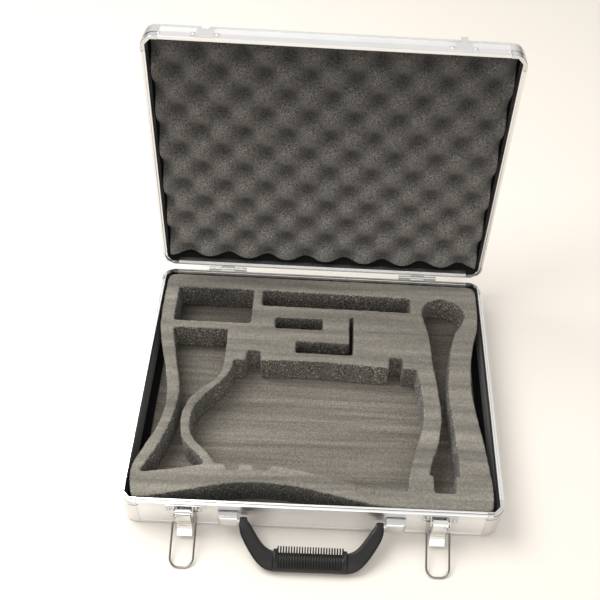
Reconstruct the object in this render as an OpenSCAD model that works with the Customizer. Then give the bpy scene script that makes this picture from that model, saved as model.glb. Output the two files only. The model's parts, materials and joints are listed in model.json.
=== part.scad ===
// Flat aluminium carry case, lying on its base with the lid standing open.
// Millimetres. Origin: centre of the underside of the base.
// +X to the right, +Y back towards the hinges, +Z up.

/* [Case] */
// Width of the case, side to side
case_w = 430; // [428:1:440]
// Depth of the case, front to back
case_d = 340; // [338:1:350]
// Height of the base, from its underside to its rim
base_h = 50.6; // [50:0.1:56]
// Height of the lid, from its rim to its top
lid_h = 28.8; // [28:0.1:34]
// Plan radius of the upright corners
corner_r = 17; // [15:0.5:20]
// Angle that the lid stands open at, from closed
lid_open = 95.9; // [0:0.1:96]

/* [Shell] */
// Thickness of the skin on the trims, corner caps and rail flanges
skin_t = 0.8; // [0.6:0.1:0.8]
// Thickness of the side walls behind the skin
wall_t = 2.2; // [2:0.1:2.2]
// Thickness of the cloth lining
liner_t = 0.6; // [0.4:0.1:0.7]
// Width of the rim rails, outside to inside
rail_w = 5.4; // [5.2:0.1:5.8]
// Gap left between the two rims when the lid is shut
rim_gap = 0.4; // [0.4:0.1:0.6]

/* [Foam] */
// Thickness of the foam pad under the insert
pad_t = 2.4; // [2:0.1:3]
// Depth of the insert's top face below the rim
insert_drop = 3.2; // [3:0.1:6]

/* [Latches] */
// Distance of each latch from the middle of the case
latch_x = 142.5; // [138:0.5:146]
// Wire diameter of the latch bail
bail_wire = 2.2; // [2:0.1:2.2]
// Reach of the bail, pivot to the middle of its end wire
bail_reach = 47.7; // [47.5:0.1:47.9]

/* [Handle] */
// Distance from the handle's pivot to its outer edge
handle_reach = 52.6; // [52:0.1:52.6]
// Number of fins on the grip
fin_count = 25; // [15:2:29]

/* [Hinges] */
// Distance of each hinge from the middle of the case
hinge_x = 128.7; // [110:0.1:140]
// Width of each hinge
hinge_w = 51; // [45:1:60]

/* [Hidden] */

ALUMINIUM = "silver";
STEEL = "gainsboro";
FOAM_GREY = "#8f8a82";
CHARCOAL = "#3a3a3c";
BLACK = "#161616";

SIDES = [["left", -1], ["right", 1]];
// name, x sign, y sign and turn of each corner
CORNERS = [
    ["front_left", -1, -1, 180], ["front_right", 1, -1, 270],
    ["back_left", -1, 1, 90], ["back_right", 1, 1, 0]
];

wall_in = skin_t + wall_t;            // inside face of the side walls, from outside
floor_top = 3.2;                      // top of the base's bottom panel
pad_z = floor_top + liner_t;
insert_z = pad_z + pad_t;
insert_top = base_h - insert_drop;
trim_h = 5;                           // height of the trim's upright flange
trim_in = 8;                          // width of the trim's flat flange
trim_t = 1.2;
trim_round = 2.4;                     // outside rounding of the trim
flange_h = 10;                        // height of the base rails' outside flange
lid_flange_h = 10.7;
corner_run = 3;                       // straight run of a corner piece past its arc
rail_end = corner_r + corner_run + 0.3;

front_y = -case_d / 2;
back_y = case_d / 2;
axis_y = back_y + 3.65;               // hinge axis, behind the back face
axis_z = base_h + rim_gap / 2;
knuckle_r = 2.1;
leaf_t = 1.2;
hinge_pin_r = 1;

pivot_out = 6;                        // handle pivot, out from the front face
pivot_z = 28.1;
handle_drop = 27;                     // slope of the handle as it lies, below level
handle_pin_r = 2.5;
bracket_in = 83;                      // inner face of each handle bracket
bracket_w = 22;
bracket_out = 9.2;                    // how far each handle bracket stands out
bracket_h = 19.4;

lever_w = 17;
lever_pin = [6, 43];                  // lever pin: out from the front face, and height
lever_pin_r = 1.25;
bail_pin = [8, 21.5];                 // bail pivot, given the same way
bail_half = 12.9;                     // half the bail's width, to the wire's middle
bail_bend = 10.5;                     // bend radius of the bail's end
wire_r = bail_wire / 2;
bail_lie = asin((bail_pin[1] - wire_r) / bail_reach);
run_fit = 0.05;                       // radial clearance of turning fits

// Point at share t between b and c of the curve through a, b, c and d
function curve_point(a, b, c, d, t) =
    0.5 * (2 * b + (c - a) * t + (2 * a - 5 * b + 4 * c - d) * t * t
           + (3 * b - a - 3 * c + d) * t * t * t);

// Smooth open curve through pts, with n steps between neighbours
function curve(pts, n = 4) =
    let (last = len(pts) - 1)
    concat([for (i = [0 : last - 1]) for (k = [0 : n - 1])
        curve_point(pts[max(i - 1, 0)], pts[i], pts[i + 1], pts[min(i + 2, last)], k / n)],
        [pts[last]]);

// Outline of a strip of width t along a path
function strip(path, t) =
    let (last = len(path) - 1,
         side = [for (i = [0 : last])
             let (a = path[max(i - 1, 0)], b = path[min(i + 1, last)], v = (b - a) / norm(b - a))
             [-v[1], v[0]] * t / 2])
    concat([for (i = [0 : last]) path[i] + side[i]],
           [for (i = [last : -1 : 0]) path[i] - side[i]]);

function arc(r, from, to, n = 8) =
    [for (k = [0 : n]) let (a = from + (to - from) * k / n) r * [cos(a), sin(a)]];

// ---- shapes shared by the base and the lid ----

module rounded_plan(inset) {
    w = case_w - 2 * inset;
    d = case_d - 2 * inset;
    r = corner_r - inset;
    square([w - 2 * r, d], center = true);
    square([w, d - 2 * r], center = true);
    for (sx = [-1, 1]) for (sy = [-1, 1])
        translate([sx * (w / 2 - r), sy * (d / 2 - r)]) circle(r, $fn = 64);
}

module slab(inset, z0, z1) {
    translate([0, 0, z0]) linear_extrude(z1 - z0) rounded_plan(inset);
}

module ring(outside, inside, z0, z1) {
    translate([0, 0, z0]) linear_extrude(z1 - z0) difference() {
        rounded_plan(outside);
        rounded_plan(inside);
    }
}

// Straight runs of a profile along the four sides. In the profile, x is the
// distance in from the outside face and y is the height.
module side_runs(end) {
    for (q = [0 : 3]) {
        run = (q % 2 == 0 ? case_w : case_d) - 2 * end;
        face = (q % 2 == 0 ? case_d : case_w) / 2;
        rotate(90 * q) translate([-run / 2, -face, 0]) rotate([90, 0, 90])
            linear_extrude(run) children();
    }
}

// The same profile around one corner, centred on the corner's arc
module corner_turn(run) {
    rotate_extrude(angle = 90, $fn = 64) translate([corner_r, 0]) mirror([1, 0]) children();
    if (run > 0) {
        translate([corner_r, 0, 0]) rotate([90, 0, 0]) mirror([1, 0, 0])
            linear_extrude(run) children();
        translate([-run, corner_r, 0]) rotate([90, 0, 90]) mirror([1, 0, 0])
            linear_extrude(run) children();
    }
}

module at_corner(c) {
    translate([c[1] * (case_w / 2 - corner_r), c[2] * (case_d / 2 - corner_r), 0])
        rotate(c[3]) children();
}

module full_loop() {
    side_runs(corner_r) children();
    for (c = CORNERS) at_corner(c) corner_turn(0) children();
}

module trim_profile() {
    polygon(concat([[0, trim_h], [skin_t, trim_h], [skin_t, floor_top], [wall_in, floor_top],
        [wall_in, trim_t], [trim_in, trim_t], [trim_in, 0]],
        [for (p = arc(trim_round, 270, 180)) p + [trim_round, trim_round]]));
}

// Both corner pieces lie in the corner's own frame, with the arc's centre at 0
module corner_cap(z0, z1) {
    proud = 0.5;
    corner_turn(corner_run) translate([-proud, z0]) square([skin_t + proud, z1 - z0]);
}

// A bracket on a rim corner: an edge strip over the outside, a web across the
// inner corner and, where lip_top is above the web, a lip along the web's inner edge
module rim_corner(flange, lip_top) {
    ledge = 2.4;
    foot = 2.9;
    web = [-2.7, -1.5];
    lip_w = 1.5;
    rim_r = corner_r - ledge / 2;
    inside = corner_r - rail_w;
    cut = 0.57 * inside;              // leg of the slant across the inner corner
    lip_bend = inside - cut + lip_w * tan(22.5);
    inner_edge = [[-corner_run, inside], [inside - cut, inside], [inside, inside - cut],
        [inside, -corner_run]];
    corner_turn(corner_run) polygon([[0, -flange], [skin_t, -flange], [skin_t, -foot],
        [ledge, -foot], [ledge, 0], [0.5, 0], [0, -0.5]]);
    translate([0, 0, web[0]]) linear_extrude(web[1] - web[0]) polygon(concat(
        [[rim_r, -corner_run]], arc(rim_r, 0, 90, 12), [[-corner_run, rim_r]], inner_edge));
    if (lip_top > web[1]) translate([0, 0, web[0]])
        linear_extrude(lip_top - web[0]) polygon(concat([[inside + lip_w, -corner_run],
            [inside + lip_w, lip_bend], [lip_bend, inside + lip_w],
            [-corner_run, inside + lip_w]], inner_edge));
}

module rivet_head(r, h) {
    ball = (r * r + h * h) / (2 * h);
    intersection() {
        translate([0, 0, h - ball]) sphere(ball, $fn = 48);
        cylinder(h, r, r, $fn = 48);
    }
}

// Turns a head to stand out of the front face, at x and z
module on_front(x, out, z) {
    translate([x, front_y - out, z]) rotate([90, 0, 0]) children();
}

module on_back(x, out, z) {
    translate([x, back_y + out, z]) rotate([-90, 0, 0]) children();
}

module corner_rivets(z, out) {
    along = corner_r + 4.2;
    for (c = CORNERS) {
        translate([c[1] * (case_w / 2 - along), c[2] * (case_d / 2 + out), z])
            rotate([-90 * c[2], 0, 0]) rivet_head(1.7, 0.8);
        translate([c[1] * (case_w / 2 + out), c[2] * (case_d / 2 - along), z])
            rotate([0, 90 * c[1], 0]) rivet_head(1.7, 0.8);
    }
}

// Lid parts are drawn shut, with z = 0 at the lid's rim
module in_lid() {
    translate([0, axis_y, axis_z]) rotate([-lid_open, 0, 0])
        translate([0, -axis_y, rim_gap / 2]) children();
}

// ---- base ----

module base_bottom_panel() {
    color(ALUMINIUM) {
        slab(trim_in, 0, floor_top);
        slab(wall_in, trim_t, floor_top);
    }
}

module base_side_wall() {
    color(ALUMINIUM) ring(skin_t, wall_in, floor_top, base_h - 4);
}

module base_rim_rails() {
    color(ALUMINIUM) translate([0, 0, base_h]) side_runs(rail_end) polygon([
        [0, -flange_h], [skin_t, -flange_h], [skin_t, -4], [rail_w - 0.8, -4], [rail_w - 0.8, -9],
        [rail_w, -9], [rail_w, 1], [rail_w - 0.3, 1.3], [3.5, 1.3], [3.2, 1], [3.2, -2], [2.4, -2],
        [2.4, 0], [0.5, 0], [0, -0.5]]);
}

module base_bottom_trim() {
    color(ALUMINIUM) full_loop() trim_profile();
}

module base_liner() {
    color(BLACK) difference() {
        slab(wall_in, floor_top, base_h - 4);
        slab(wall_in + liner_t, floor_top + liner_t, base_h);
    }
}

module base_corner_cap(c) {
    color(STEEL) at_corner(c) corner_cap(trim_h + 0.2, base_h - 8.2);
}

module base_rim_corner(c) {
    color(STEEL) translate([0, 0, base_h]) at_corner(c) rim_corner(8, 1.3);
}

module base_corner_rivets() {
    color(STEEL) corner_rivets(base_h - 6.5, 0);
}

module floor_pad() {
    color(CHARCOAL) translate([-201, -160, pad_z]) cube([402, 324, pad_t]);
}

// Edge of the insert, drawn clockwise from the back left corner
INSERT_BACK_RIGHT = [[196, 163.6], [204.5, 161], [207.6, 152]];
INSERT_RIGHT = [[207.6, 118], [205, 94], [198, 67], [192.5, 35], [190.5, -5], [193.5, -34],
    [199, -74], [203.5, -114], [205, -140], [203, -157]];
INSERT_FRONT = [[199, -162.3], [95, -162.3], [60, -158.3], [20, -149.6], [-20, -141.6],
    [-60, -138.6], [-100, -141.6], [-140, -150.4], [-185, -160.6]];
INSERT_LEFT = [[-201.5, -161.6], [-206.5, -144], [-208, -124], [-198.5, -99], [-186.5, -69],
    [-181.6, -34], [-188.5, 7], [-197.5, 40], [-205.5, 75], [-207.6, 108]];
INSERT_BACK_LEFT = [[-207.6, 152], [-204.5, 161], [-196, 163.6]];

// Pocket outlines
LONG_LEFT_WALL = [[-188.6, 74], [-182.6, 47], [-175.7, 17], [-168.3, -14.5], [-168.8, -44],
    [-174.7, -74], [-185.6, -104], [-198.5, -130.5]];
LONG_FRONT_WALL = [[-198.5, -130.5], [-173.7, -127], [-144, -121.6], [-126, -117.6]];
LONG_RIGHT_WALL = [[-126, -117.6], [-136, -105], [-154, -89], [-160.8, -64], [-158.8, -42],
    [-149, -23.5], [-132, -7.5], [-121, 7.5], [-118.6, 25], [-118.6, 74.8]];
BIG_LEFT_WALL = [[-106.7, 28], [-108.2, 15], [-117.2, -2.6], [-137, -26.5], [-147.9, -46],
    [-149.4, -69], [-142, -86], [-126, -101], [-114.5, -116]];
BIG_RIGHT_WALL = [[107, -141], [111, -112], [119, -84], [126.5, -59], [129.4, -32],
    [127.5, -5], [123.5, 25.2]];
BIG_FRONT_CURVE = [[-49.7, -115.7], [-30, -118.6], [-10, -122], [20, -128], [48, -134.6]];
BIG_BACK_CURVE = [[88.5, 25.4], [50, 27.2], [10, 29.6], [-30, 29.9], [-69.5, 28.6]];
SPOON_RIGHT = [[160.7, 140.8], [179.5, 133.3], [190, 117], [185, 100.5], [176, 86],
    [168, 57], [162.7, 15], [161.4, -15], [164.5, -54], [166.6, -94], [168, -120.4]];
SPOON_LEFT = [[132.4, -120.7], [138, -99], [145.8, -76], [151, -42], [148.8, -5],
    [144.2, 35], [141.6, 76], [136, 102.6], [133.6, 118], [141.8, 134.3], [160.7, 140.8]];

function box_outline(x0, y0, x1, y1) = [[x0, y0], [x1, y0], [x1, y1], [x0, y1]];

module pockets() {
    polygon(box_outline(-190, 86.5, -90.5, 141.5));
    polygon([[-78.4, 116.6], [118.5, 115.2], [118.5, 139.2], [-78.4, 142]]);
    polygon(box_outline(-58.6, 80.4, 3, 97.5));
    polygon(concat([[-30.3, 43], [42.8, 42.2]], [[43, 98]], [for (p = arc(2.6, 0, 180))
        p + [40.4, 101]], [[37.8, 98], [37.8, 59.4], [-30.3, 60.6]]));
    polygon(concat(curve(LONG_LEFT_WALL), curve(LONG_FRONT_WALL, 2), curve(LONG_RIGHT_WALL)));
    polygon(concat(curve(BIG_LEFT_WALL), [[-102.3, -116], [-101, -123.2], [-86.5, -123.2],
        [-85.4, -116], [-70.6, -116], [-69.5, -122.7], [-50.8, -122.7]],
        curve(BIG_FRONT_CURVE, 3), [[48.6, -143.4], [68.4, -147], [69.4, -139.6]],
        curve(BIG_RIGHT_WALL), [[106.2, 25.2], [105.6, 41], [88.5, 41]],
        curve(BIG_BACK_CURVE, 3), [[-73, 28.4], [-74.4, 43], [-91, 43], [-92, 28]]));
    polygon(concat(curve(SPOON_RIGHT), [[162.2, -120.7], [162.2, -142], [137.4, -141.5],
        [137.4, -121.2]], curve(SPOON_LEFT)));
}

module foam_insert() {
    color(FOAM_GREY) translate([0, 0, insert_z]) linear_extrude(insert_top - insert_z)
        difference() {
            polygon(concat(curve(INSERT_BACK_RIGHT, 3), curve(INSERT_RIGHT),
                curve(INSERT_FRONT, 3), curve(INSERT_LEFT), curve(INSERT_BACK_LEFT, 3)));
            pockets();
        }
}

// ---- latches, drawn about the middle of one latch ----

module at_latch(side) {
    translate([side * latch_x, 0, 0]) children();
}

// Extrudes a side view across the latch. In it, x is out from the front face.
module across(width) {
    translate([-width / 2, front_y, 0]) rotate([90, 0, 90]) linear_extrude(width)
        mirror([1, 0]) children();
}

module cross_rod(r, width, at) {
    translate([-width / 2, front_y - at[0], at[1]]) rotate([0, 90, 0])
        cylinder(width, r, r, $fn = 48);
}

module latch_plate() {
    ear_at = 9.9;
    ear_t = 1.1;
    color(STEEL) {
        difference() {
            translate([0, front_y, 0]) rotate([90, 0, 0]) linear_extrude(1.2) union() {
                translate([-20, 35.5]) square([40, 13]);
                translate([-13, 10]) square([26, 26]);
            }
            translate([-7.6, front_y - 2, 45]) cube([15.2, 3, 2.6]);
        }
        difference() {
            for (s = [-1, 1]) translate([s * (ear_at + ear_t / 2), 0, 0]) across(ear_t)
                polygon([[1, 31], [6, 33], [9, 38], [10, 43], [8.6, 46.4], [1, 48]]);
            cross_rod(lever_pin_r, 30, lever_pin);
        }
    }
}

module latch_pin() {
    color(STEEL) cross_rod(lever_pin_r, 22.6, lever_pin);
}

LEVER_FRONT = [[7.3, 46.2], [10, 44], [10.7, 38], [10.3, 30], [8.8, 23], [8.4, 18.5],
    [11, 12.8], [16.6, 6.4]];

module latch_lever() {
    cheek_t = 1.1;
    cheek_at = lever_w / 2 - cheek_t / 2 - 0.1;
    color(STEEL) difference() {
        union() {
            across(lever_w) polygon(strip(curve(LEVER_FRONT), 1.3));
            cross_rod(3.4, lever_w - 0.4, lever_pin);
            for (s = [-1, 1]) translate([s * cheek_at, 0, 0]) across(cheek_t)
                polygon([[3.4, 42], [8.6, 46], [10.4, 38], [10, 30], [8.6, 22], [8.4, 18.6],
                    [6.6, 18.8], [5.8, 21.5]]);
        }
        cross_rod(lever_pin_r + run_fit, 30, lever_pin);
        cross_rod(wire_r + run_fit, 30, bail_pin);
    }
}

// The bail is drawn reaching out level from its pivot, then lowered to the table
module latch_bail() {
    side_run = bail_reach - bail_bend;
    end_run = bail_half - bail_bend;
    color(STEEL) translate([0, front_y - bail_pin[0], bail_pin[1]]) rotate([bail_lie, 0, 0]) {
        for (s = [-1, 1]) {
            translate([s * bail_half, 0, 0]) rotate([90, 0, 0])
                cylinder(side_run, wire_r, wire_r, $fn = 32);
            translate([s * bail_half, 0, 0]) sphere(wire_r, $fn = 32);
            translate([s * bail_half, 0, 0]) rotate([0, -90 * s, 0])
                cylinder(bail_half - 7.2, wire_r, wire_r, $fn = 32);
            translate([s * end_run, -side_run, 0]) rotate(s > 0 ? 270 : 180)
                rotate_extrude(angle = 90, $fn = 64) translate([bail_bend, 0])
                    circle(wire_r, $fn = 32);
        }
        translate([-end_run, -bail_reach, 0]) rotate([0, 90, 0])
            cylinder(2 * end_run, wire_r, wire_r, $fn = 32);
    }
}

module latch_rivets() {
    color(STEEL) for (s = SIDES) for (x = [-16.6, 16.6])
        on_front(s[1] * latch_x + x, 1.2, 40) rivet_head(2, 1);
}

// ---- handle ----

// A box open at x = 0, w deep and h high, with its two far corners rounded
module half_rounded(w, h, r) {
    polygon(concat([[0, -h / 2]], [for (p = arc(r, -90, 0)) p + [w - r, r - h / 2]],
        [for (p = arc(r, 0, 90)) p + [w - r, h / 2 - r]], [[0, h / 2]]));
}

module handle_bracket() {
    color(STEEL) difference() {
        intersection() {
            translate([bracket_in + bracket_w / 2, 0, 0]) across(bracket_w)
                translate([0, pivot_z]) half_rounded(bracket_out, bracket_h, 3.4);
            translate([bracket_in, front_y, pivot_z - bracket_h])
                linear_extrude(2 * bracket_h) half_rounded(bracket_w, 2 * bracket_out, 5);
        }
        translate([bracket_in - 1, front_y - pivot_out, pivot_z]) rotate([0, 90, 0])
            cylinder(13, handle_pin_r, handle_pin_r, $fn = 48);
    }
}

module handle_pin() {
    color(STEEL) translate([71.5, front_y - pivot_out, pivot_z]) rotate([0, 90, 0])
        cylinder(bracket_in + 12 - 71.5, handle_pin_r, handle_pin_r, $fn = 48);
}

module handle_back_plate() {
    color(ALUMINIUM) translate([-82, front_y + 0.2, 7]) cube([164, 0.6, 33]);
}

// Half the handle seen flat: distance from the middle, and reach out from the pivot
HANDLE_OUTER = [[81.8, -6], [81.6, 2], [79.4, 13], [74, 23.5], [66.6, 34.6], [60.4, 42.4],
    [54, 48], [47, 51.6], [39, 52.4]];
HANDLE_INNER = [[39, 31.5], [45, 29.6], [50.5, 26.6], [56.5, 20.5], [63, 11.5], [70.4, 0],
    [71, -6]];
// Half the handle's edge view: reach out from the pivot, and height over its middle
HANDLE_EDGE = [[2, 4.8], [8, 6], [41, 6], [49, 4.8], [52.4, 2.6]];

// Everything in the handle is drawn level, reaching towards -Y from its pivot
module handle_across(x0, x1) {
    translate([x0, 0, 0]) rotate([90, 0, 90]) linear_extrude(x1 - x0) mirror([1, 0]) children();
}

module oval(a, b) {
    polygon([for (k = [0 : 35]) [a * cos(10 * k), b * sin(10 * k)]]);
}

module handle_arms() {
    hub_r = 4.6;
    intersection() {
        translate([0, 0, -10]) linear_extrude(20) for (m = [0, 1]) mirror([m, 0]) mirror([0, 1])
            polygon(concat(curve(HANDLE_OUTER, 3), curve(HANDLE_INNER, 3)));
        handle_across(-85, 85) union() {
            circle(hub_r, $fn = 64);
            polygon(concat(HANDLE_EDGE, [for (k = [len(HANDLE_EDGE) - 1 : -1 : 0])
                [HANDLE_EDGE[k][0], -HANDLE_EDGE[k][1]]]));
        }
    }
}

// The grip: an oval core, a fin every few millimetres that wraps it and reaches inwards,
// a smooth band along the outside and a collar at each end
module handle_grip() {
    core = [10.5, 8.4];
    collar = [12.3, 8.9];
    groove = 0.9;
    fin_t = 1.5;
    fin_h = 9;
    fin_tip = 25.3;
    fins_half = 36;
    middle = handle_reach - core[0];
    handle_across(-40, 40) translate([middle, 0]) oval(core[0] - groove, core[1] - groove);
    handle_across(-40, 40) intersection() {
        translate([middle, 0]) oval(core[0], core[1]);
        translate([handle_reach - 4.4, -core[1]]) square([5, 2 * core[1]]);
    }
    for (s = [-1, 1]) handle_across(39.2 * s - 1.7, 39.2 * s + 1.7)
        translate([handle_reach + 0.1 - collar[0], 0]) oval(collar[0], collar[1]);
    for (k = [0 : fin_count - 1]) {
        x = fins_half * (2 * k / (fin_count - 1) - 1);
        handle_across(x - fin_t / 2, x + fin_t / 2) {
            translate([middle, 0]) oval(core[0], core[1]);
            translate([fin_tip, -fin_h / 2]) square([middle - fin_tip, fin_h]);
        }
    }
}

module handle() {
    color(BLACK) translate([0, front_y - pivot_out, pivot_z]) rotate([handle_drop, 0, 0])
        difference() {
            union() {
                handle_arms();
                handle_grip();
            }
            for (s = [-1, 1]) translate([s * 76 - 8, 0, 0]) rotate([0, 90, 0])
                cylinder(16, handle_pin_r + run_fit, handle_pin_r + run_fit, $fn = 48);
        }
}

// ---- hinges, drawn about the middle of one hinge ----

module at_hinge(side) {
    translate([side * hinge_x, 0, 0]) children();
}

// The base leaf hangs down from z = 0 at the axis; the lid leaf is its mirror
module hinge_leaf(spans, bore) {
    deep = 21;
    translate([0, back_y, 0]) {
        translate([-hinge_w / 2, 0, -deep]) cube([hinge_w, leaf_t, deep - 3]);
        for (x = spans) {
            translate([x[0], 0, -3.2]) cube([x[1] - x[0], leaf_t, 3.2 - 0.9]);
            difference() {
                translate([x[0], axis_y - back_y, 0]) {
                    rotate([0, 90, 0]) cylinder(x[1] - x[0], knuckle_r, knuckle_r, $fn = 48);
                    translate([0, back_y - axis_y, -knuckle_r])
                        cube([x[1] - x[0], axis_y - back_y, leaf_t]);
                }
                translate([x[0] - 1, axis_y - back_y, 0]) rotate([0, 90, 0])
                    cylinder(x[1] - x[0] + 2, bore, bore, $fn = 48);
            }
        }
    }
}

module hinge_base_leaf() {
    color(STEEL) translate([0, 0, axis_z])
        hinge_leaf([[-hinge_w / 2, -9], [9, hinge_w / 2]], hinge_pin_r);
}

module hinge_lid_leaf() {
    color(STEEL) in_lid() translate([0, 0, -rim_gap / 2]) mirror([0, 0, 1])
        hinge_leaf([[-8.7, 8.7]], hinge_pin_r + run_fit);
}

module hinge_pin() {
    color(STEEL) translate([-hinge_w / 2, axis_y, axis_z]) rotate([0, 90, 0])
        cylinder(hinge_w, hinge_pin_r, hinge_pin_r, $fn = 48);
}

module hinge_rivets(z) {
    color(STEEL) for (s = SIDES) for (x = [-18, -6, 6, 18])
        on_back(s[1] * hinge_x + x, leaf_t, z) rivet_head(2, 0.9);
}

// ---- lid, drawn shut with its rim at z = 0 ----

module lid_top_panel() {
    color(ALUMINIUM) in_lid() {
        slab(trim_in, lid_h - floor_top, lid_h);
        slab(wall_in, lid_h - floor_top, lid_h - trim_t);
    }
}

module lid_side_wall() {
    color(ALUMINIUM) in_lid() ring(skin_t, wall_in, 4, lid_h - floor_top);
}

module lid_rim_rails() {
    color(ALUMINIUM) in_lid() side_runs(rail_end) polygon([
        [0, lid_flange_h], [skin_t, lid_flange_h], [skin_t, 4], [rail_w - 0.8, 4],
        [rail_w - 0.8, 9], [rail_w, 9], [rail_w, 1.9], [rail_w - 0.3, 1.7], [3, 1.7], [3, 0],
        [0.5, 0], [0, 0.5]]);
}

module lid_top_trim() {
    color(ALUMINIUM) in_lid() translate([0, 0, lid_h]) mirror([0, 0, 1]) full_loop()
        trim_profile();
}

module lid_liner() {
    color(BLACK) in_lid() difference() {
        slab(wall_in, 4, lid_h - floor_top);
        slab(wall_in + liner_t, 3, lid_h - floor_top - liner_t);
    }
}

module lid_corner_cap(c) {
    color(STEEL) in_lid() at_corner(c) corner_cap(9.2, lid_h - trim_h - 0.2);
}

module lid_rim_corner(c) {
    color(STEEL) in_lid() mirror([0, 0, 1]) at_corner(c) rim_corner(9, -1.7);
}

module lid_corner_rivets() {
    color(STEEL) in_lid() corner_rivets(7.4, 0);
}

module lid_foam() {
    peak_z = 3;
    color(CHARCOAL) in_lid() translate([-205.5, -163.5, peak_z])
        cube([411, 320.5, lid_h - floor_top - liner_t - peak_z]);
}

module catch_plate() {
    color(STEEL) in_lid() {
        translate([-16.5, front_y - 1, 3]) cube([33, 1, 8]);
        across(19) polygon([[0, 1.6], [1.4, 1.6], [5.2, 12.6], [3, 13.4], [0, 13.4]]);
        across(8) polygon([[0, 9], [4, 9], [5.3, 12.8], [9, 17.6], [8.2, 18.5], [4.4, 15.2],
            [3, 14.4], [0, 14.4]]);
    }
}

module catch_rivets() {
    color(STEEL) in_lid() for (s = SIDES) for (x = [-13, 13])
        on_front(s[1] * latch_x + x, 1, 7) rivet_head(2, 1);
}

base_bottom_panel();
base_side_wall();
base_rim_rails();
base_bottom_trim();
base_liner();
base_corner_rivets();
floor_pad();
foam_insert();
latch_rivets();
handle_back_plate();
hinge_rivets(axis_z - 16);  // hinge_base_rivets
lid_top_panel();
lid_side_wall();
lid_rim_rails();
lid_top_trim();
lid_liner();
lid_foam();
lid_corner_rivets();
catch_rivets();
in_lid() hinge_rivets(15.8);  // hinge_lid_rivets
handle();

for (c = CORNERS) {
    base_corner_cap(c);
    base_rim_corner(c);
    lid_corner_cap(c);
    lid_rim_corner(c);
}

for (s = SIDES) {
    at_latch(s[1]) latch_plate();
    at_latch(s[1]) latch_pin();
    at_latch(s[1]) latch_lever();
    at_latch(s[1]) latch_bail();
    at_latch(s[1]) catch_plate();
    mirror([s[1] < 0 ? 1 : 0, 0, 0]) handle_bracket();
    mirror([s[1] < 0 ? 1 : 0, 0, 0]) handle_pin();
    at_hinge(s[1]) hinge_base_leaf();
    at_hinge(s[1]) hinge_lid_leaf();
    at_hinge(s[1]) hinge_pin();
}
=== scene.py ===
"""Looks of the open aluminium carry case: camera, light, materials and the detailed soft pieces."""
import json
from math import cos, pi, radians

import bmesh
import bpy
from mathutils import Matrix, Vector, noise


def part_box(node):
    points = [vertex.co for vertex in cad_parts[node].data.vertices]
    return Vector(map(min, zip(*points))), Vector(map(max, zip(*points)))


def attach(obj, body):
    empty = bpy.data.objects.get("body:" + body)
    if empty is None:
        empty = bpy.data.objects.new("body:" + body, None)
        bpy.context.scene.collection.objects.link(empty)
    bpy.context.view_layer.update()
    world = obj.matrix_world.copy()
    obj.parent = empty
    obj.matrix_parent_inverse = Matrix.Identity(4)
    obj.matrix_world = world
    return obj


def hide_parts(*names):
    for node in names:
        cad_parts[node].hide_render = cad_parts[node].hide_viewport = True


MM = 0.001

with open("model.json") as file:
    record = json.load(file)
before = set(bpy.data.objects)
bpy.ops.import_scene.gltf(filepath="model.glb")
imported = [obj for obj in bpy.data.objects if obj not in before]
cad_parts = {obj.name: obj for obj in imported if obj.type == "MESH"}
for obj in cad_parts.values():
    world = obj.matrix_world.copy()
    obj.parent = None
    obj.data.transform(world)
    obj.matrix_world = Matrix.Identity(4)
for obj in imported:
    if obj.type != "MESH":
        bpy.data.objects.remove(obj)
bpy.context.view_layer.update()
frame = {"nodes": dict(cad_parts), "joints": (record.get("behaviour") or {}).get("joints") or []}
nodes = frame["nodes"]
joints = {joint["name"]: joint for joint in frame["joints"]}


# ---- camera, light and floor ----

def add_camera():
    data = bpy.data.cameras.new("camera")
    data.sensor_width = 36
    data.lens = 52.33
    data.shift_x = -0.061
    data.shift_y = -0.053
    data.clip_start = 0.01
    camera = bpy.data.objects.new("camera", data)
    camera.location = (-0.0072, -0.5993, 0.9525)
    camera.rotation_euler = (radians(40.915), radians(-2.755), radians(1.288))
    bpy.context.collection.objects.link(camera)
    bpy.context.scene.camera = camera


def add_area_light(name, place, target, size, power, colour):
    data = bpy.data.lights.new(name, "AREA")
    data.shape = "DISK"
    data.size = size
    data.energy = power
    data.color = colour
    light = bpy.data.objects.new(name, data)
    light.location = place
    aim = Vector(target) - Vector(place)
    light.rotation_euler = aim.to_track_quat("-Z", "Y").to_euler()
    bpy.context.collection.objects.link(light)


def add_world():
    """A pale room, brightest above and behind the case, with dark walls for the metal to reflect."""
    brightest_way = Vector((-0.15, 0.45, 0.88))
    dark_wall = (0.09, 0.086, 0.08, 1)
    pale_ceiling = (1.0, 0.985, 0.96, 1)
    world = bpy.data.worlds.new("room")
    world.use_nodes = True
    tree = world.node_tree
    background = tree.nodes["Background"]
    background.inputs["Strength"].default_value = 0.95
    coords = tree.nodes.new("ShaderNodeTexCoord")
    toward = tree.nodes.new("ShaderNodeVectorMath")
    toward.operation = "DOT_PRODUCT"
    toward.inputs[1].default_value = brightest_way
    ramp = tree.nodes.new("ShaderNodeValToRGB")
    ramp.color_ramp.elements[0].position = 0.16
    ramp.color_ramp.elements[0].color = dark_wall
    ramp.color_ramp.elements[1].position = 0.66
    ramp.color_ramp.elements[1].color = pale_ceiling
    tree.links.new(coords.outputs["Generated"], toward.inputs[0])
    tree.links.new(toward.outputs["Value"], ramp.inputs["Fac"])
    tree.links.new(ramp.outputs["Color"], background.inputs["Color"])
    bpy.context.scene.world = world
    bpy.context.scene.view_settings.view_transform = "Standard"


def add_floor():
    half_width = 3.0
    bm = bmesh.new()
    bmesh.ops.create_grid(bm, x_segments=8, y_segments=8, size=half_width)
    piece = new_piece("table_top", mesh_of(bm, "table_top"), table_top())


# ---- materials ----

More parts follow.
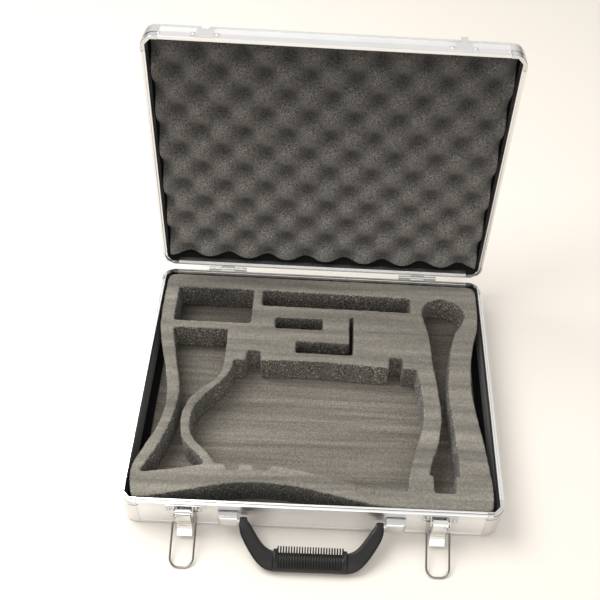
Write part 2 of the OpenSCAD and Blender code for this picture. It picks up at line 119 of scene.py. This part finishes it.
class Nodes:
    """A material's node tree, with short names for the nodes that the materials here share."""

    def __init__(self, name):
        self.material = bpy.data.materials.new(name)
        self.material.use_nodes = True
        self.tree = self.material.node_tree
        self.shader = self.tree.nodes["Principled BSDF"]
        source = self.tree.nodes.new("ShaderNodeTexCoord")
        self.place = source.outputs["Object"]
        self.normal = source.outputs["Normal"]

    def link(self, source, target):
        self.tree.links.new(source, target)

    def stretched(self, scale):
        mapping = self.tree.nodes.new("ShaderNodeMapping")
        mapping.inputs["Scale"].default_value = scale
        self.link(self.place, mapping.inputs["Vector"])
        return mapping.outputs["Vector"]

    def noise(self, scale, detail, stretch=None, roughness=0.6):
        node = self.tree.nodes.new("ShaderNodeTexNoise")
        node.inputs["Scale"].default_value = scale
        node.inputs["Detail"].default_value = detail
        node.inputs["Roughness"].default_value = roughness
        self.link(self.stretched(stretch) if stretch else self.place, node.inputs["Vector"])
        return node.outputs["Fac"]

    def cells(self, scale):
        node = self.tree.nodes.new("ShaderNodeTexVoronoi")
        node.inputs["Scale"].default_value = scale
        self.link(self.place, node.inputs["Vector"])
        return node.outputs["Distance"]

    def flecks(self, scale, share):
        """Small dots, 1 inside and 0 outside, in about that share of the cells."""
        distance = self.cells(scale)
        draw = self.along(distance.node.outputs["Color"], "X")
        chosen = self.ramp(draw, 1 - share, 1.0, 0.0, 1.0)
        return self.times(self.ramp(distance, 0.15, 0.42, 1.0, 0.0), chosen)

    def along(self, vector, axis):
        split = self.tree.nodes.new("ShaderNodeSeparateXYZ")
        self.link(vector, split.inputs[0])
        return split.outputs[axis]

    def attribute(self, name):
        node = self.tree.nodes.new("ShaderNodeAttribute")
        node.attribute_name = name
        return node.outputs["Fac"]

    def ramp(self, value, low, high, at_low, at_high):
        node = self.tree.nodes.new("ShaderNodeMapRange")
        node.inputs["From Min"].default_value = low
        node.inputs["From Max"].default_value = high
        node.inputs["To Min"].default_value = at_low
        node.inputs["To Max"].default_value = at_high
        self.link(value, node.inputs["Value"])
        return node.outputs["Result"]

    def times(self, a, b):
        node = self.tree.nodes.new("ShaderNodeMath")
        node.operation = "MULTIPLY"
        self.link(a, node.inputs[0])
        self.link(b, node.inputs[1])
        return node.outputs[0]

    def one_plus_product(self, a, b):
        node = self.times(a, b).node
        node.operation = "MULTIPLY_ADD"
        node.inputs[2].default_value = 1.0
        return node.outputs[0]

    def colour(self, rgb, *values):
        """The base colour, multiplied by each of the values."""
        node = self.tree.nodes.new("ShaderNodeVectorMath")
        node.operation = "SCALE"
        node.inputs[0].default_value = rgb
        factor = values[0]
        for value in values[1:]:
            factor = self.times(factor, value)
        self.link(factor, node.inputs["Scale"])
        self.link(node.outputs["Vector"], self.shader.inputs["Base Color"])

    def roughness(self, value):
        self.link(value, self.shader.inputs["Roughness"])

    def bump(self, height, distance, strength=1.0):
        """Relief from the height, on top of any relief that is there already."""
        node = self.tree.nodes.new("ShaderNodeBump")
        node.inputs["Distance"].default_value = distance
        node.inputs["Strength"].default_value = strength
        self.link(height, node.inputs["Height"])
        previous = self.shader.inputs["Normal"].links
        if previous:
            self.link(previous[0].from_socket, node.inputs["Normal"])
        self.link(node.outputs["Normal"], self.shader.inputs["Normal"])

    def set(self, **sockets):
        for name, value in sockets.items():
            self.shader.inputs[name.replace("_", " ")].default_value = value


def metal(name, rgb, rough, grain, relief=0.01 * MM, wear=0.06):
    """Metal with a fine grain of that relief. wear is how much darker its worn patches are."""
    n = Nodes(name)
    n.set(Metallic=1.0)
    fine = n.noise(grain, 3)
    patches = n.noise(14, 4)
    n.colour(rgb, n.ramp(patches, 0.3, 0.7, 1 - wear, 1.0), n.ramp(fine, 0.3, 0.7, 1 - wear, 1.0))
    n.roughness(n.ramp(patches, 0.3, 0.7, rough * 0.96, rough * 1.05))
    n.bump(fine, relief)
    return n.material


def foam(name, rgb, contrast, grain=475, streak=None, streak_depth=0, cut=1.0, painted_foot_light=0,
         painted_back_shade=0, painted_pit_shade=0):
    """Open-cell foam with specks of that contrast, and streaks where their scale is given.
    cut is how dark its upright cut faces are, where the cells lie open: partly their own tone and
    partly painted shade on the pocket walls. painted_foot_light is painted light and shade: how much
    lighter it is low down and darker high up. painted_back_shade is painted shade, how much darker it
    is towards the back, and painted_pit_shade is painted shade, how much darker it is where the mesh's
    pit attribute is 1."""
    foot, top = 60 * MM, 380 * MM
    middle, back = 30 * MM, 100 * MM
    pore = 0.35 * MM
    n = Nodes(name)
    n.set(Sheen_Weight=0.15, Sheen_Roughness=0.6, Specular_IOR_Level=0.15)
    speckle = n.noise(grain, 1.2, roughness=0.7)
    flecks = n.flecks(grain, 0.45)
    pores = n.cells(800)
    spots = n.ramp(speckle, 0.3, 0.7, -contrast, contrast)
    shades = [n.ramp(pores, 0.0, 0.7, 0.8, 1.1)]
    if cut < 1:
        up = n.along(n.normal, "Z")
        # Upright faces darker: partly the open cells' own tone, partly painted shade on the pocket
        # walls.
        shades.append(n.ramp(up, 0.3, 0.9, cut, 1.0))
        shades.append(n.one_plus_product(spots, n.ramp(up, 0.3, 0.9, 2.4, 0.5)))
        shades.append(n.one_plus_product(flecks, n.ramp(up, 0.3, 0.9, 6.0, 0.4)))
    else:
        shades.append(n.ramp(spots, -1, 1, 0, 2))
        shades.append(n.ramp(flecks, 0, 1, 1, 1 + 1.4 * contrast))
    if painted_foot_light:
        # Painted light and shade: lighter low down and darker high up.
        shades.append(n.ramp(n.along(n.place, "Z"), foot, top, 1 + painted_foot_light, 1 - painted_foot_light))
    if painted_pit_shade:
        # Painted shade in the pits of the egg-crate.
        shades.append(n.ramp(n.attribute("pit"), 0.1, 1.0, 1.0, 1 - painted_pit_shade))
    if painted_back_shade:
        # Painted shade: darker towards the back, where the back walls of the pockets shade the floor.
        shades.append(n.ramp(n.along(n.place, "Y"), middle, back, 1.0, 1 - painted_back_shade))
    if streak:
        lines = n.noise(1.0, 4, streak)
        shades.append(n.ramp(lines, 0.32, 0.68, 1 - streak_depth, 1 + streak_depth))
    n.colour(rgb, *shades)
    n.roughness(n.ramp(speckle, 0.3, 0.7, 0.85, 1.0))
    n.bump(pores, pore, 0.8)
    n.bump(speckle, pore, 0.7)
    return n.material


def cloth(name, rgb):
    n = Nodes(name)
    n.set(Sheen_Weight=0.3, Sheen_Roughness=0.5, Specular_IOR_Level=0.2)
    fuzz = n.noise(1400, 3)
    n.colour(rgb, n.ramp(fuzz, 0.3, 0.7, 0.6, 1.4))
    n.roughness(n.ramp(fuzz, 0.3, 0.7, 0.8, 0.98))
    n.bump(fuzz, 0.15 * MM)
    return n.material


def moulded(name, rgb):
    n = Nodes(name)
    n.set(Specular_IOR_Level=0.4)
    spark = n.noise(2600, 2)
    rub = n.noise(60, 4)
    n.colour(rgb, n.ramp(rub, 0.3, 0.7, 0.8, 1.5))
    n.roughness(n.ramp(rub, 0.3, 0.7, 0.34, 0.5))
    n.bump(spark, 0.03 * MM)
    return n.material


def table_top():
    n = Nodes("table_top")
    n.set(Specular_IOR_Level=0.3)
    drift = n.noise(3.0, 3)
    n.colour((0.87, 0.82, 0.755), n.ramp(drift, 0.3, 0.7, 0.985, 1.0))
    n.roughness(n.ramp(drift, 0.3, 0.7, 0.5, 0.6))
    return n.material


SKIN = metal("skin", (0.93, 0.93, 0.93), 0.42, 900, relief=0.02 * MM, wear=0.03)
RAIL = metal("rail", (0.88, 0.88, 0.88), 0.28, 1800)
CAP = metal("cap", (0.80, 0.79, 0.78), 0.22, 700)
CHROME = metal("chrome", (0.70, 0.70, 0.70), 0.10, 400, wear=0.04)
WIRE = metal("wire", (0.26, 0.26, 0.255), 0.14, 400, wear=0.04)
PRESSED = metal("pressed", (0.80, 0.80, 0.79), 0.13, 500, wear=0.04)
PLATED = metal("plated", (0.62, 0.62, 0.61), 0.26, 900)
LINING = cloth("lining", (0.003, 0.003, 0.003))
# Painted shade and light: the insert's upright faces, the pad towards the back, and the crate's foot,
# top and pits.
INSERT = foam("insert", (0.210, 0.196, 0.168), 0.4, streak=(3, 55, 1), streak_depth=0.36, cut=0.6)
PAD = foam("pad", (0.190, 0.175, 0.147), 0.3, streak=(4, 110, 1), streak_depth=0.34, painted_back_shade=0.45)
CRATE = foam("crate", (0.140, 0.133, 0.123), 0.7, grain=600, painted_foot_light=0.4, painted_pit_shade=0.48)
PLASTIC = moulded("plastic", (0.005, 0.005, 0.005))


def material_for(node):
    if "bail" in node:
        return WIRE
    if "lever" in node or "catch_plate" in node:
        return PRESSED
    if "rim_corner" in node or "bracket" in node or node.startswith(("latch_", "catch_")):
        return CHROME
    if "corner_cap" in node:
        return CAP
    if "rail" in node or "trim" in node:
        return RAIL
    if "liner" in node:
        return LINING
    if "rivet" in node or node.startswith("hinge") or "_pin_" in node:
        return PLATED
    return SKIN


def give(obj, material):
    obj.data.materials.clear()
    obj.data.materials.append(material)


# ---- carried-over metal pieces ----

# The rounding of the edges in millimetres, by a word in the node's name. The largest match counts.
ROUNDING = {"panel": 0.2, "wall": 0.15, "rails": 0.15, "trim": 0.25, "cap": 0.3, "rim_corner": 0.25,
            "bracket": 0.4, "plate": 0.25, "lever": 0.3, "leaf": 0.2, "catch": 0.3}


def rounding_of(node):
    return max([width for word, width in ROUNDING.items() if word in node], default=0) * MM


def round_edges(obj, width):
    bevel = obj.modifiers.new("rounded", "BEVEL")
    bevel.width = width
    bevel.segments = 2
    bevel.limit_method = "ANGLE"
    bevel.angle_limit = radians(35)
    bevel.use_clamp_overlap = True
    bevel.harden_normals = True


def dress_metal(node):
    obj = nodes[node]
    give(obj, material_for(node))
    obj.data.shade_smooth()
    obj.data.set_sharp_from_angle(angle=radians(30))
    if rounding_of(node):
        round_edges(obj, rounding_of(node))


# ---- soft and moulded pieces ----

def mesh_of(bm, name):
    mesh = bpy.data.meshes.new(name)
    bm.to_mesh(mesh)
    bm.free()
    return mesh


def new_piece(name, mesh, material):
    piece = bpy.data.objects.new(name, mesh)
    bpy.context.collection.objects.link(piece)
    give(piece, material)
    return piece


def remeshed_copy(node, name, voxel, smoothing, material):
    """A copy of a CAD node as a fine even mesh with softened edges."""
    same_place = 0.001 * MM
    bm = bmesh.new()
    bm.from_mesh(nodes[node].data)
    bmesh.ops.remove_doubles(bm, verts=bm.verts, dist=same_place)
    piece = new_piece(name, mesh_of(bm, name), material)
    remesh = piece.modifiers.new("remesh", "REMESH")
    remesh.mode = "VOXEL"
    remesh.voxel_size = voxel
    smooth = piece.modifiers.new("smooth", "SMOOTH")
    smooth.factor = 0.5
    smooth.iterations = smoothing
    bpy.context.view_layer.update()
    evaluated = piece.evaluated_get(bpy.context.evaluated_depsgraph_get())
    result = bpy.data.meshes.new_from_object(evaluated)
    piece.modifiers.clear()
    piece.data = result
    give(piece, material)
    result.shade_smooth()
    return piece


def roughen(mesh, size, depth, stretch=(1, 1, 1)):
    """Moves each vertex along its normal by a smooth noise of that size and depth."""
    shifts = []
    for vertex in mesh.vertices:
        point = Vector([c * s / size for c, s in zip(vertex.co, stretch)])
        shifts.append(vertex.normal * depth * noise.noise(point))
    for vertex, shift in zip(mesh.vertices, shifts):
        vertex.co += shift


def block_of_quads(low, high, step, height, flat):
    """A closed block on the plan of a box: one broad face follows height(x, y), the other is flat."""
    bm = bmesh.new()
    columns = round((high.x - low.x) / step)
    rows = round((high.y - low.y) / step)
    shaped = [[None] * (rows + 1) for _ in range(columns + 1)]
    edge = {}
    for i in range(columns + 1):
        for j in range(rows + 1):
            x = low.x + (high.x - low.x) * i / columns
            y = low.y + (high.y - low.y) * j / rows
            shaped[i][j] = bm.verts.new((x, y, height(x, y)))
            if i in (0, columns) or j in (0, rows):
                edge[i, j] = bm.verts.new((x, y, flat))
    for i in range(columns):
        for j in range(rows):
            bm.faces.new((shaped[i][j], shaped[i + 1][j], shaped[i + 1][j + 1], shaped[i][j + 1]))
    rim = [(i, 0) for i in range(columns)] + [(columns, j) for j in range(rows)]
    rim += [(i, rows) for i in range(columns, 0, -1)] + [(0, j) for j in range(rows, 0, -1)]
    for (a, b), (c, d) in zip(rim, rim[1:] + rim[:1]):
        bm.faces.new((edge[a, b], edge[c, d], shaped[c][d], shaped[a][b]))
    bm.faces.new([edge[key] for key in reversed(rim)])
    bmesh.ops.recalc_face_normals(bm, faces=bm.faces)
    return bm


def insert_piece():
    """The cut-out insert: softened cut edges, slightly wavy knife-cut walls and a coarse surface."""
    piece = remeshed_copy("foam_insert", "insert_soft", 1.5 * MM, 3, INSERT)
    roughen(piece.data, size=9 * MM, depth=0.5 * MM, stretch=(1, 1, 0.4))
    roughen(piece.data, size=2.6 * MM, depth=0.35 * MM)
    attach(piece, "base")
    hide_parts("foam_insert")


def pad_piece():
    """The thin pad on the bottom, with faint ribs from side to side."""
    low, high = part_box("floor_pad")
    rib_length, rib_width, rib_height = 30 * MM, 5 * MM, 0.25 * MM

    def height(x, y):
        ribs = noise.noise(Vector((x / rib_length, y / rib_width, 0)))
        return high.z - rib_height + rib_height * ribs

    bm = block_of_quads(low, high, 3 * MM, height, flat=low.z)
    piece = new_piece("pad_soft", mesh_of(bm, "pad_soft"), PAD)
    piece.data.shade_smooth()
    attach(piece, "base")
    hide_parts("floor_pad")


def lid_opening():
    """The turn from where something is drawn with the lid shut to where it stands at rest."""
    hinge = joints["lid_hinge"]
    pivot = Vector(hinge["pos_m"])
    turn = Matrix.Rotation(-radians(hinge["range_deg"][1]), 4, Vector(hinge["axis"]))
    return Matrix.Translation(pivot) @ turn @ Matrix.Translation(-pivot)


def shut_box(node):
    """A lid node's box with the lid shut."""
    back = lid_opening().inverted()
    points = [back @ v.co for v in nodes[node].data.vertices]
    low = Vector([min(p[k] for p in points) for k in range(3)])
    high = Vector([max(p[k] for p in points) for k in range(3)])
    return low, high


def crate_piece():
    """Egg-crate foam in the lid: rows of soft peaks, drawn with the lid shut and peaks down."""
    low, high = shut_box("lid_foam")
    pitch_x, pitch_y = 52 * MM, 27.4 * MM
    peak_x, peak_y = 28 * MM, 151 * MM
    deep = 15 * MM
    narrowing = 1.35                  # above 1, the pits are narrower than the peaks
    unevenness, coarseness = 0.6 * MM, 0.35 * MM

    def pit(x, y):
        """0 on top of a peak and 1 at the bottom of a pit."""
        wave = cos(2 * pi * (x - peak_x) / pitch_x) * cos(pi * (peak_y - y) / pitch_y)
        return ((1 + wave) / 2) ** narrowing

    def height(x, y):
        wander = noise.noise(Vector((x, y, 0)) / (35 * MM))
        grain = noise.noise(Vector((x, y, 0)) / (4 * MM))
        return low.z + deep * pit(x, y) + unevenness * wander + coarseness * grain + unevenness

    bm = block_of_quads(low, high, 2.2 * MM, height, flat=high.z)
    # The pit values go into the pit attribute, which the crate material uses for painted shade in the
    # pits.
    shades = [pit(vertex.co.x, vertex.co.y) for vertex in bm.verts]
    bm.transform(lid_opening())
    piece = new_piece("crate_soft", mesh_of(bm, "crate_soft"), CRATE)
    piece.data.attributes.new("pit", "FLOAT", "POINT").data.foreach_set("value", shades)
    piece.data.shade_smooth()
    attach(piece, "lid")
    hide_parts("lid_foam")


def handle_piece():
    """The moulded handle: crisp fins on the grip, and arms rounded like a thick bar."""
    piece = remeshed_copy("handle", "handle_moulded", 0.5 * MM, 1, PLASTIC)
    arms = piece.vertex_groups.new(name="arms")
    grip_end, fade = 41.5 * MM, 2 * MM
    for vertex in piece.data.vertices:
        share = (abs(vertex.co.x) - grip_end) / fade
        if share > 0:
            arms.add([vertex.index], min(share, 1), "REPLACE")
    smooth = piece.modifiers.new("rounded_arms", "SMOOTH")
    smooth.vertex_group = "arms"
    smooth.factor = 0.9
    smooth.iterations = 110
    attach(piece, "handle")
    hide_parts("handle")


add_camera()
add_world()
add_floor()
add_area_light("key", (-0.85, 0.3, 1.5), (-0.15, 0, 0.05), size=1.2, power=22, colour=(1.0, 0.99, 0.97))
add_area_light("front", (0.1, -1.7, 0.9), (0, 0, 0.1), size=1.8, power=13, colour=(1.0, 0.98, 0.95))
for node in nodes:
    dress_metal(node)
insert_piece()
pad_piece()
crate_piece()
handle_piece()
